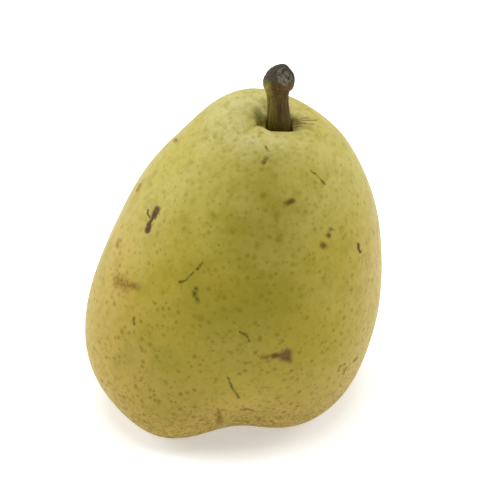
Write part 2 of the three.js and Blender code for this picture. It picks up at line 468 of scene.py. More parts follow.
class Shader:
    """A material's nodes, with short ways to add and join them."""

    def __init__(self, name: str) -> None:
        """Makes a material with only its surface shader and output.

        Args:
            name: The material's name.
        """
        self.material = bpy.data.materials.new(name)
        self.material.use_nodes = True
        self.tree = self.material.node_tree
        self.surface = self.tree.nodes["Principled BSDF"]
        self.place = self.vector("SCALE", self.node("ShaderNodeTexCoord").outputs["Object"], scale=1 / MM)

    def node(self, kind: str, inputs: dict | None = None, **settings: object) -> bpy.types.Node:
        """Adds a node.

        Args:
            kind: The node's type.
            inputs: What goes into its sockets, by name or index: a value, or another node's output.
            **settings: The node's own properties.

        Returns:
            The node.
        """
        made = self.tree.nodes.new(kind)
        for key, value in settings.items():
            setattr(made, key, value)
        for key, value in (inputs or {}).items():
            if isinstance(value, bpy.types.NodeSocket):
                self.tree.links.new(value, made.inputs[key])
            else:
                made.inputs[key].default_value = value
        return made

    def sum(self, kind: str, *values: object, clamp: bool = False) -> bpy.types.NodeSocket:
        """The result of one step of arithmetic on numbers or sockets."""
        made = self.node("ShaderNodeMath", dict(enumerate(values)), operation=kind, use_clamp=clamp)
        return made.outputs[0]

    def vector(self, kind: str, *values: object, scale: object = None) -> bpy.types.NodeSocket:
        """Adds one step of vector arithmetic.

        Args:
            kind: The step, such as ADD or LENGTH.
            *values: The vectors or sockets that go into it.
            scale: What SCALE multiplies by.

        Returns:
            The resulting vector, or the number that DOT_PRODUCT or LENGTH gives.
        """
        inputs = dict(enumerate(values)) | ({} if scale is None else {"Scale": scale})
        made = self.node("ShaderNodeVectorMath", inputs, operation=kind)
        return made.outputs["Value" if kind in {"DOT_PRODUCT", "LENGTH"} else "Vector"]

    def band(self, value: object, low: object, high: object, start: float = 0, end: float = 1) -> object:
        """Takes low to start and high to end, smoothly."""
        inputs = {"Value": value, "From Min": low, "From Max": high, "To Min": start, "To Max": end}
        return self.node("ShaderNodeMapRange", inputs, interpolation_type="SMOOTHSTEP").outputs[0]

    def mix(self, share: object, first: object, second: object, blend: str = "MIX") -> bpy.types.NodeSocket:
        """Mixes two colours.

        Args:
            share: How much of the second one there is, from 0 to 1.
            first: The first colour.
            second: The second colour.
            blend: How they are mixed.

        Returns:
            The mixed colour.
        """
        made = self.node("ShaderNodeMix", data_type="RGBA", blend_type=blend)
        for index, value in ((0, share), (6, first), (7, second)):
            if isinstance(value, bpy.types.NodeSocket):
                self.tree.links.new(value, made.inputs[index])
            else:
                made.inputs[index].default_value = value if index == 0 else (*value, 1)
        return made.outputs[2]

    def noise(self, place: object, size: float, detail: float = 2, rough: float = 0.5) -> object:
        """Soft noise from 0 to 1 whose lumps are about size millimetres across."""
        inputs = {"Vector": place, "Scale": 1 / size, "Detail": detail, "Roughness": rough}
        return self.node("ShaderNodeTexNoise", inputs).outputs["Fac"]

    def stray(self, place: object, size: float, reach: float) -> bpy.types.NodeSocket:
        """Pushes places aside, so that what is drawn there gets uneven edges.

        Args:
            place: The places.
            size: How wide the lumps of the push are, in millimetres.
            reach: How far it goes, in millimetres.

        Returns:
            The places that were pushed.
        """
        noisy = self.node("ShaderNodeTexNoise", {"Vector": place, "Scale": 1 / size}).outputs["Color"]
        centred = self.vector("SUBTRACT", noisy, (0.5, 0.5, 0.5))
        return self.vector("ADD", place, self.vector("SCALE", centred, scale=2 * reach))

    def near(self, spot: Triple, low: float, high: float, place: object = None) -> bpy.types.NodeSocket:
        """1 within low millimetres of a spot, and 0 beyond high."""
        away = self.vector("LENGTH", self.vector("SUBTRACT", place or self.place, spot))
        return self.band(away, low, high, 1, 0)

    def flatten(self, place: object, view: Viewpoint) -> bpy.types.NodeSocket:
        """Presses places together along the view, as Viewpoint.flatten does.

        Args:
            place: The places.
            view: The view to press along.

        Returns:
            The places that were pressed.
        """
        back = tuple(view.axes()[2])
        depth = self.sum("MULTIPLY", self.vector("DOT_PRODUCT", place, back), view.press)
        return self.vector("SUBTRACT", place, self.vector("SCALE", back, scale=depth))

    def stroke(self, place: object, start: Triple, end: Triple, width: float, soft: float) -> object:
        """Draws a stroke between two points.

        Args:
            place: The places, pressed flat along the view.
            start: One end of the stroke.
            end: Its other end.
            width: Its width, in millimetres.
            soft: The share of its width over which it fades out.

        Returns:
            1 on the stroke and 0 away from it.
        """
        span = np.subtract(end, start)
        offset = self.vector("SUBTRACT", place, tuple(start))
        along = self.sum("DIVIDE", self.vector("DOT_PRODUCT", offset, tuple(span)), span @ span + WELD)
        along = self.node("ShaderNodeClamp", {0: along}).outputs[0]
        nearest = self.vector("SCALE", tuple(span), scale=along)
        away = self.vector("LENGTH", self.vector("SUBTRACT", offset, nearest))
        return self.band(away, width * (1 - soft) / 2, width * (1 + soft) / 2, 1, 0)

    def dots(self, place: object, kind: Dots) -> bpy.types.NodeSocket:
        """Strews dots.

        Args:
            place: Where to look, in millimetres.
            kind: How far apart the dots are, how large, how many are missing, and how far all are shifted.

        Returns:
            1 in the middle of a dot, fading to 0 at its radius.
        """
        if any(kind.shift):
            place = self.vector("ADD", place, kind.shift)
        cells = self.node("ShaderNodeTexVoronoi", {"Vector": place, "Scale": 1 / kind.spacing})
        chance = self.node("ShaderNodeSeparateColor", {0: cells.outputs["Color"]})
        radius = self.band(chance.outputs[0], 0, 1, kind.smallest, kind.largest)
        kept = self.sum("GREATER_THAN", chance.outputs[1], kind.missing)
        away = self.sum("DIVIDE", self.sum("MULTIPLY", cells.outputs["Distance"], kind.spacing), radius)
        return self.sum("MULTIPLY", self.band(away, 0.2, 1, 1, 0), kept)

    def dress(self, colour: object, rough: object, height: object, piece: bpy.types.Object) -> None:
        """Joins the finish to the surface, and gives it to a piece.

        Args:
            colour: The colour.
            rough: The roughness.
            height: The relief, in millimetres.
            piece: The piece that gets it.
        """
        bump = self.node("ShaderNodeBump", {"Height": height, "Distance": MM, "Strength": 1.0})
        self.tree.links.new(colour, self.surface.inputs["Base Color"])
        self.tree.links.new(rough, self.surface.inputs["Roughness"])
        self.tree.links.new(bump.outputs[0], self.surface.inputs["Normal"])
        piece.data.materials.clear()
        piece.data.materials.append(self.material)


@dataclass(frozen=True)
class SkinFinish:
    """Thin yellow-green skin: mottled, dotted with pores, russeted at both ends, a little scarred, and with
    painted shade on its front and round the stem.
    """

    yellow: Triple = (0.385, 0.295, 0.025)
    green: Triple = (0.275, 0.235, 0.011)
    blot: Triple = (0.17, 0.147, 0.001)
    pale: Triple = (0.42, 0.365, 0.08)
    crest: Triple = (0.52, 0.475, 0.2)
    tan: Triple = (0.44, 0.316, 0.066)
    pore: Triple = (0.2, 0.15, 0.002)
    pore_brown: Triple = (0.2, 0.12, 0.008)
    russet: Triple = (0.21, 0.11, 0.014)
    brown: Triple = (0.14, 0.067, 0.01)
    olive: Triple = (0.085, 0.06, 0.001)
    scar: Triple = (0.07, 0.033, 0.016)
    # The crease colour is painted shade in the creases by the stem, with their own brown tint.
    crease: Triple = (0.13, 0.063, 0.006)
    fleck: Triple = (0.13, 0.065, 0.01)
    pores: Dots = Dots(2.0, 0.55, 1.05, 0.02)
    small_pores: Dots = Dots(1.45, 0.3, 0.6, 0.2, (31.7, 12.3, 5.1))
    flecks: Dots = Dots(1.05, 0.25, 0.6, 0.25, (7.7, 3.1, 9.4))
    blots: Dots = Dots(4.2, 0.9, 1.7, 0.25)
    gloss: float = 0.14
    flesh_glow: float = 0.15
    glow_colour: Triple = (1.0, 0.7, 0.25)
    glow_depth: float = 1.5
    softness: tuple[tuple[Tone, float], ...] = (
        (Tone.SCAR, 0.5),
        (Tone.BROWN, 0.85),
        (Tone.RUSSET, 0.8),
        (Tone.OLIVE, 0.8),
        (Tone.CREASE_SHADE, 1.0),
        (Tone.PAINTED_SHADE, 1.0),
    )

    def apply(
        self,
        piece: bpy.types.Object,
        strokes: list[Stroke],
        view: Viewpoint,
        stem_foot: Triple,
        calyx: Triple,
    ) -> None:
        """Dresses the fruit.

        Args:
            piece: The fruit.
            strokes: The marks that it carries.
            view: The view that the marks were laid by.
            stem_foot: Where the stem leaves the flesh, in millimetres.
            calyx: The middle of the base hollow, in millimetres.
        """
        shade = Shader("pear_skin")
        masks = self.mask_strokes(shade, strokes, view)
        colour, height = self.ground_colour(shade, masks[Tone.PAINTED_SHADE])
        ragged = shade.stray(shade.place, 0.7, 0.2)
        colour, large = self.add_pores(shade, colour, height, ragged)
        colour, rusty = self.add_russet(shade, colour, height, ragged, stem_foot, calyx)
        colour = self.add_marks(shade, colour, masks)
        marked = shade.sum("MAXIMUM", masks[Tone.SCAR], masks[Tone.RUSSET])
        rough = shade.band(shade.noise(shade.place, 4), 0.3, 0.7, 0.4, 0.5)
        dull = shade.sum("MULTIPLY", shade.sum("MAXIMUM", rusty, marked), 0.3)
        rough = shade.sum("ADD", rough, dull, clamp=True)
        lumps = shade.sum("MULTIPLY", shade.noise(shade.place, 9, 2), 0.35)
        grit = shade.sum("MULTIPLY", shade.noise(shade.place, 0.7, 2), 0.03)
        relief = shade.sum("ADD", lumps, grit)
        relief = shade.sum("SUBTRACT", relief, shade.sum("MULTIPLY", large, 0.04))
        shade.surface.inputs["Subsurface Weight"].default_value = self.flesh_glow
        shade.surface.inputs["Subsurface Radius"].default_value = self.glow_colour
        shade.surface.inputs["Subsurface Scale"].default_value = self.glow_depth * MM
        shade.surface.inputs["Specular IOR Level"].default_value = self.gloss
        shade.dress(colour, rough, relief, piece)

    def add_pores(
        self, shade: Shader, colour: object, height: object, ragged: object
    ) -> tuple[object, object]:
        """Strews large and small pores over the skin, browner and stronger low down.

        Args:
            shade: The skin's material.
            colour: The skin's colour so far.
            height: A wavy height, in millimetres.
            ragged: Places with uneven edges.

        Returns:
            The colour, and where the large pores are.
        """
        pore = shade.mix(shade.band(height, 50, 12), self.pore, self.pore_brown)
        large = shade.dots(ragged, self.pores)
        small = shade.dots(ragged, self.small_pores)
        strength = shade.band(shade.noise(shade.place, 9, 1), 0.3, 0.65, 0.4, 0.82)
        strength = shade.sum("MULTIPLY", strength, shade.band(height, 92, 30, 0.45, 0.95))
        colour = shade.mix(shade.sum("MULTIPLY", large, strength), colour, pore)
        strength = shade.band(height, 65, 5, 0.22, 0.6)
        return shade.mix(shade.sum("MULTIPLY", small, strength), colour, pore), large

    def add_russet(
        self, shade: Shader, colour: object, height: object, ragged: object, stem_foot: Triple, calyx: Triple
    ) -> tuple[object, object]:
        """Lays brown russet and flecks round the base hollow, with a little round the stem.

        Args:
            shade: The skin's material.
            colour: The skin's colour so far.
            height: A wavy height, in millimetres.
            ragged: Places with uneven edges.
            stem_foot: Where the stem leaves the flesh, in millimetres.
            calyx: The middle of the base hollow, in millimetres.

        Returns:
            The colour, and where the skin is russeted.
        """
        base = shade.near(calyx, 10, 33, shade.stray(shade.place, 5, 6))
        base = shade.sum("MAXIMUM", base, shade.band(height, 24, 2, 0, 0.9))
        top = shade.near(stem_foot, 2.5, 7, shade.stray(shade.place, 3, 2))
        net = shade.band(shade.noise(shade.stray(shade.place, 2, 0.6), 1, 4, 0.7), 0.46, 0.62)
        rusty = shade.sum("MULTIPLY", shade.sum("MAXIMUM", base, shade.sum("MULTIPLY", top, 0.35)), net)
        colour = shade.mix(shade.sum("MULTIPLY", rusty, 0.75), colour, self.russet)
        flecked = shade.sum("MULTIPLY", shade.dots(ragged, self.flecks), shade.sum("MULTIPLY", base, 0.75))
        return shade.mix(flecked, colour, self.fleck), rusty

    def add_marks(self, shade: Shader, colour: object, masks: dict[Tone, object]) -> object:
        """Colours the painted shade in the creases, with their own brown tint, and the strokes, rubbed spots
        and scars.

        Args:
            shade: The skin's material.
            colour: The skin's colour so far.
            masks: Where the marks of each tone are.

        Returns:
            The colour.
        """
        grain = shade.band(shade.noise(shade.place, 0.7, 3, 0.7), 0.3, 0.6, 0.8, 1)
        patchy = shade.band(shade.noise(shade.place, 1.1, 3, 0.7), 0.36, 0.6, 0.45, 0.95)
        for tone, strength, mark in (
            (Tone.CREASE_SHADE, 0.65, self.crease),
            (Tone.OLIVE, patchy, self.olive),
            (Tone.RUSSET, patchy, self.russet),
            (Tone.BROWN, grain, self.brown),
            (Tone.SCAR, grain, self.scar),
        ):
            colour = shade.mix(shade.sum("MULTIPLY", masks[tone], strength), colour, mark)
        return colour

    def mask_strokes(self, shade: Shader, strokes: list[Stroke], view: Viewpoint) -> dict[Tone, object]:
        """Draws the marks.

        Args:
            shade: The skin's material.
            strokes: The legs of the marks.
            view: The view that they were laid by.

        Returns:
            For each tone, 1 on its strokes and 0 elsewhere.
        """
        torn = shade.flatten(shade.stray(shade.stray(shade.place, 1.6, 0.35), 0.7, 0.12), view)
        clean = shade.flatten(shade.stray(shade.place, 3, 0.3), view)
        softness, masks = dict(self.softness), {}
        for stroke in strokes:
            tone = stroke.mark.tone
            place = clean if tone is Tone.CREASE_SHADE else torn
            drawn = shade.stroke(place, tuple(stroke.start), tuple(stroke.end), stroke.width, softness[tone])
            masks[tone] = shade.sum("MAXIMUM", masks[tone], drawn) if tone in masks else drawn
        return masks

    def ground_colour(self, shade: Shader, shaded: object) -> tuple[object, object]:
        """Mixes the skin's colour under its pores and marks.

        Args:
            shade: The skin's material.
            shaded: Where shade is painted: on the front that faces the view and in the folds left of the
                stem.

        Returns:
            The colour, and a wavy height in millimetres.
        """
        place = shade.place
        wavy = shade.node("ShaderNodeSeparateXYZ", {0: shade.stray(place, 14, 6)})
        height, across = wavy.outputs["Z"], wavy.outputs["X"]
        patch = shade.band(shade.noise(place, 22, 3), 0.35, 0.65)
        patch = shade.sum("MULTIPLY", patch, shade.band(height, 20, 70, 0.1, 0.7))
        colour = shade.mix(patch, self.yellow, self.pale)
        colour = shade.mix(shade.band(height, 52, 80, 0, 0.8), colour, self.pale)
        colour = shade.mix(shade.band(height, 82, 94, 0, 0.85), colour, self.crest)
        colour = shade.mix(shade.band(height, 36, 6), colour, self.tan)
        outer = shade.sum("MAXIMUM", shade.band(across, -14, -36), shade.band(across, 24, 40, 0, 0.8))
        side = shade.sum("MULTIPLY", outer, shade.band(height, 78, 50, 0, 0.8))
        colour = shade.mix(side, colour, self.tan)
        # Painted shade: half-way to green where the shade strokes lie.
        colour = shade.mix(shade.sum("MULTIPLY", shaded, 0.5), colour, self.green)
        cloud = shade.band(shade.noise(place, 6.5, 3, 0.6), 0.46, 0.7)
        cloud = shade.sum("MULTIPLY", cloud, shade.band(height, 8, 45, 0.15, 0.45))
        colour = shade.mix(cloud, colour, self.green)
        blots = shade.dots(shade.stray(place, 2.5, 0.8), self.blots)
        # The dark green blots are the skin's own, but stronger under the painted shade.
        blots = shade.sum("MULTIPLY", blots, shade.sum("MULTIPLY_ADD", shaded, 0.55, 0.15))
        colour = shade.mix(blots, colour, self.blot)
        mottle = shade.band(shade.noise(place, 2.2, 3, 0.6), 0.45, 0.7, 0, 0.4)
        colour = shade.mix(mottle, colour, self.green)
        fleck = shade.band(shade.noise(place, 0.9, 2, 0.6), 0.52, 0.7, 0, 0.15)
        return shade.mix(fleck, colour, self.pale), height


@dataclass
class Fruit:
    """The flesh in its skin, with the pit and hole for the stem and the hollow for the calyx."""

    growth: Growth
    outline: tuple[Pair, ...] = (
        (3.4, 8.3), (6, 7.4), (13, 2), (20, 0), (34, 8), (38.7, 26), (38.5, 44), (33.7, 62), (24, 78.2),
        (14.5, 87), (9.5, 88.7), (6.2, 89), (4.6, 88.5), (3.7, 87.5), (3.45, 85.9),
    )
    calyx_hole: tuple[Pair, ...] = ((0, 13.3), (1.9, 13.3), (2.2, 12.8), (2.8, 11.5), (2.9, 9))
    stem_hole: tuple[Pair, ...] = (
        (3.4, 85.2), (3.3, 84), (3.15, 82.5), (2.95, 80.9), (2.4, 79), (1.6, 78.15), (0, 78.1),
    )
    seat: float = 85.5
    # The lip of the hole is sunk all round, less at the back, and dips beside the stem at the front.
    lip_in: float = 4.2
    lip_out: float = 8.5
    lip_trim: float = 1.2
    lip_drop: float = 0.9
    lip_back: float = 0.4
    lip_dip: float = 1.7
    dip_depth: float = 5
    sides: int = 320
    gap: float = 0.7
    crease_count: int = 31
    crease_depth: float = 0.06
    crease_start: Pair = (3.5, 4.5)
    crease_radius: float = 5.5
    crease_reach: float = 2.6
    mark_spread: float = 0.55
    hollow_rim: Pair = (2.9, 6)

    def build(self, stem_line: "StemLine", view: Viewpoint) -> tuple[bpy.types.Object, Ground, list[Stroke]]:
        """Grows the fruit and stands it up.

        Args:
            stem_line: The stem's middle line, which the hole follows.
            view: The view whose pixels the marks are laid by.

        Returns:
            The fruit, where it stands, and the strokes of its marks.
        """
        knots = [*self.calyx_hole, *self.outline, *self.stem_hole]
        skin = turn_outline(smooth_line(knots, self.gap, 3), self.sides)
        mesh = bpy.data.meshes.new("pear_fruit")
        skin.to_mesh(mesh)
        skin.free()
        round_points = positions(mesh)
        swollen = self.hold_hollow(round_points, self.growth.swell(round_points))
        ground = self.stand(swollen)
        points = ground.place(self.growth.push(swollen, self.growth.touches))
        points[:, 2] = np.maximum(points[:, 2], 0)
        points = self.follow_stem(round_points, swollen, points, stem_line.at_height, ground)
        strokes = self.lay_marks(mesh, points, view)
        points = self.carve(mesh, points, round_points, strokes, view)
        return finish_piece("pear_fruit", mesh, points, "fruit"), ground, strokes

    def hold_hollow(self, upright: np.ndarray, swollen: np.ndarray) -> np.ndarray:
        """Keeps the calyx's hole where the calyx is, and blends it into the swollen flesh.

        Args:
            upright: The points of the round fruit.
            swollen: The same points on the lopsided one.

        Returns:
            The points, those of the hole back in their places.
        """
        radius = np.hypot(upright[:, 0], upright[:, 1])
        share = np.where(upright[:, 2] < self.growth.heart, ease(radius, *self.hollow_rim), 1)[:, None]
        return upright + (swollen - upright) * share

    def stand(self, swollen: np.ndarray) -> Ground:
        """Stands the fruit where the CAD solid stands.

        Args:
            swollen: The points of the lopsided fruit, upright.

        Returns:
            How it leans, and how far it is moved.
        """
        stance = self.growth.stance()
        turned = swollen @ stance.T
        low, high = (np.array(corner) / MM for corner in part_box("fruit"))
        shift = (low + high) / 2 - (turned.min(0) + turned.max(0)) / 2
        shift[2] = -self.growth.foot_press - turned[:, 2].min()
        return Ground(stance, shift)

    def follow_stem(
        self, upright: np.ndarray, swollen: np.ndarray, points: np.ndarray, middle: Callable, ground: Ground
    ) -> np.ndarray:
        """Bends the stem's hole and the lip round it so that they go round the stem, and levels them.

        Args:
            upright: The points of the round fruit.
            swollen: The same points on the lopsided one.
            points: The same points on the standing one.
            middle: Gives the middle of the stem at heights over the floor of the pit.
            ground: Where the fruit stands.

        Returns:
            The points, with those of the hole moved.
        """
        radius = np.hypot(upright[:, 0], upright[:, 1])
        aside, front = (upright[:, :2] / np.maximum(radius, WELD)[:, None] * (1, -1)).T
        front = ease(front, -0.5, 0.5)
        reach = self.lip_out - self.lip_trim * (1 - front)
        share = np.where(upright[:, 2] > self.growth.heart, ease(-radius, -reach, -self.lip_in), 0)
        level = swollen[:, 2] + (upright[:, 2] - swollen[:, 2]) * front
        sunk = self.lip_drop * (self.lip_back + (1 - self.lip_back) * front)
        sunk += self.lip_dip * aside**2 * front * ease(level, self.seat - self.dip_depth, self.seat)
        hole = ground.place((0, 0, self.seat)) + middle(level - self.seat - sunk)
        hole[:, :2] += upright[:, :2]
        return points + (hole - points) * share[:, None]

    def lay_marks(self, mesh: bpy.types.Mesh, points: np.ndarray, view: Viewpoint) -> list[Stroke]:
        """Finds where the pixels of each mark meet the skin.

        Args:
            mesh: The fruit's mesh, for its faces.
            points: The fruit's points.
            view: The view that the pixels are in.

        Returns:
            The legs of all marks.
        """
        faces = [tuple(face.vertices) for face in mesh.polygons]
        tree = BVHTree.FromPolygons(points.tolist(), faces)
        strokes = []
        for mark in MARKS:
            found = [tree.ray_cast(Vector(view.eye()), Vector(view.ray(pixel)))[0] for pixel in mark.path]
            if None in found:
                LOG.warning("%s misses the skin", mark.name)
                continue
            flat = view.flatten(np.array(found))
            strokes += [Stroke(mark, *leg, mark.width * view.scale) for leg in zip(flat, flat[1:])]
        return strokes

    def carve(
        self,
        mesh: bpy.types.Mesh,
        points: np.ndarray,
        upright: np.ndarray,
        strokes: list[Stroke],
        view: Viewpoint,
    ) -> np.ndarray:
        """Sinks the scars and creases into the skin, with fine folds round the stem's pit.

        Args:
            mesh: The fruit's mesh, for its normals.
            points: The fruit's points.
            upright: The same points on the round fruit.
            strokes: The marks that are laid on it.
            view: The view that they were laid by.

        Returns:
            The points, none of them moved outwards.
        """
        mesh.vertices.foreach_set("co", points.ravel())
        mesh.update()
        normals = np.empty(len(points) * 3)
        mesh.vertices.foreach_get("normal", normals)
        sunk, flat = np.zeros(len(points)), view.flatten(points)
        for stroke in strokes:
            if stroke.mark.depth:
                groove = bell(stroke.distance(flat), stroke.width * self.mark_spread)
                sunk = np.maximum(sunk, stroke.mark.depth * groove)
        radius, turn = np.hypot(upright[:, 0], upright[:, 1]), np.arctan2(upright[:, 1], upright[:, 0])
        wave = np.cos(self.crease_count * turn + 3 * np.sin(3 * turn) + 0.5 * radius)
        near_stem = bell(radius - self.crease_radius, self.crease_reach) * ease(radius, *self.crease_start)
        near_stem = np.where(upright[:, 2] > self.growth.heart, near_stem, 0)
        sunk += self.crease_depth * near_stem * (1 + wave) / 2
        return points - normals.reshape(-1, 3) * sunk[:, None]


@dataclass(frozen=True)
class StemLine:
    """The stem's middle line, as the four points that steer it, measured from the floor of the pit."""

    steer: tuple[Triple, ...] = ((-0.2, 0, -7), (1, -0.3, 4.5), (-2, 1.6, 14.4), (1.5, -1.9, 17.4))

    def at(self, share: np.ndarray) -> np.ndarray:
        """Finds points of the line.

        Args:
            share: How far along it they are, from 0 to 1.

        Returns:
            The points.
        """
        share = np.atleast_1d(share)[:, None]
        weights = ((1 - share) ** 3, 3 * share * (1 - share) ** 2, 3 * share**2 * (1 - share), share**3)
        return sum(weight * np.array(point) for weight, point in zip(weights, self.steer))

    def heading(self, share: np.ndarray) -> np.ndarray:
        """Finds where the line heads.

        Args:
            share: How far along it, from 0 to 1.

        Returns:
            The unit directions there.
        """
        share = np.atleast_1d(share)[:, None]
        legs = np.diff(np.array(self.steer, float), axis=0)
        run = legs[0] * (1 - share) ** 2 + 2 * legs[1] * share * (1 - share) + legs[2] * share**2
        return run / np.linalg.norm(run, axis=1, keepdims=True)

    def at_height(self, height: np.ndarray) -> np.ndarray:
        """Finds points of the line by their heights.

        Args:
            height: The heights over the floor of the pit.

        Returns:
            The points at those heights.
        """
        shares = np.linspace(0, 0.6, 200)
        line = self.at(shares)
        found = self.at(np.interp(height, line[:, 2], shares))
        found[:, 2] = height
        return found


@dataclass(frozen=True)
class BarkFinish:
    """Dry, streaked bark, olive at its foot, with a green patch, a dark knob and a pale scar at its end."""

    brown: Triple = (0.12, 0.07, 0.016)
    streak: Triple = (0.06, 0.035, 0.008)
    light: Triple = (0.2, 0.14, 0.035)
    olive: Triple = (0.095, 0.072, 0.006)
    green: Triple = (0.28, 0.25, 0.03)
    knob: Triple = (0.045, 0.04, 0.026)
    crust: Triple = (0.12, 0.09, 0.055)
    scar: Triple = (0.22, 0.185, 0.14)
    bundle: Triple = (0.03, 0.022, 0.016)
    cap_up: Triple = (0, 0.545, 0.839)
    cap_edge: float = 81.7
    cap_fade: float = 1.2
    gloss: float = 0.2

    def apply(self, piece: bpy.types.Object, bump: Triple, foot: Triple) -> None:
        """Dresses the stem, whose own attributes say how far along it and how far into the scar a point is.

        Args:
            piece: The stem.
            bump: The middle of the bump on its knob, in millimetres.
            foot: Where its left side leaves the flesh.
        """
        shade = Shader("pear_bark")
        place = shade.place
        along = shade.node("ShaderNodeAttribute", attribute_name="along").outputs["Fac"]
        end = shade.node("ShaderNodeAttribute", attribute_name="end").outputs["Fac"]
        dot = shade.node("ShaderNodeAttribute", attribute_name="bundle").outputs["Fac"]
        fibre = shade.vector("MULTIPLY", shade.stray(place, 2.5, 0.25), (1, 1, 0.09))
        streaks = shade.noise(fibre, 0.5, 4, 0.6)
        colour = shade.mix(shade.band(streaks, 0.32, 0.6), self.streak, self.brown)
        colour = shade.mix(shade.band(streaks, 0.54, 0.75, 0, 0.6), colour, self.light)
        wavy = shade.sum("ADD", along, shade.sum("MULTIPLY", shade.noise(place, 1.8, 4, 0.6), 0.2))
        colour = shade.mix(shade.band(wavy, 0.6, 0.4, 0, 0.65), colour, self.olive)
        blurred = shade.stray(place, 1.5, 0.7)
        side = shade.stroke(blurred, bump, foot, 4.4, 1)
        side = shade.sum("MULTIPLY", side, shade.band(streaks, 0.3, 0.6, 0.2, 0.6))
        colour = shade.mix(side, colour, self.green)
        green_bump = shade.sum("MULTIPLY", shade.near(bump, 1.2, 4.2, blurred), 0.85)
        colour = shade.mix(green_bump, colour, self.green)
        crackle = shade.band(shade.noise(place, 0.8, 4, 0.7), 0.42, 0.68)
        knob = shade.mix(shade.sum("MULTIPLY", crackle, 0.4), self.knob, self.crust)
        cap = shade.vector("DOT_PRODUCT", shade.stray(place, 1.6, 1.1), self.cap_up)
        cap = shade.band(cap, self.cap_edge - self.cap_fade, self.cap_edge + self.cap_fade, 0, 0.95)
        colour = shade.mix(cap, colour, knob)
        pith = shade.mix(shade.band(shade.noise(place, 1.1, 4, 0.7), 0.4, 0.6), self.knob, self.scar)
        colour = shade.mix(shade.sum("MULTIPLY", end, 0.65), colour, pith)
        colour = shade.mix(shade.sum("MULTIPLY", dot, 0.85), colour, self.bundle)
        relief = shade.sum("MULTIPLY", streaks, 0.2)
        relief = shade.sum("ADD", relief, shade.sum("MULTIPLY", crackle, 0.1))
        rough = shade.band(streaks, 0.3, 0.7, 0.6, 0.8)
        shade.surface.inputs["Specular IOR Level"].default_value = self.gloss
        shade.dress(colour, rough, relief, piece)


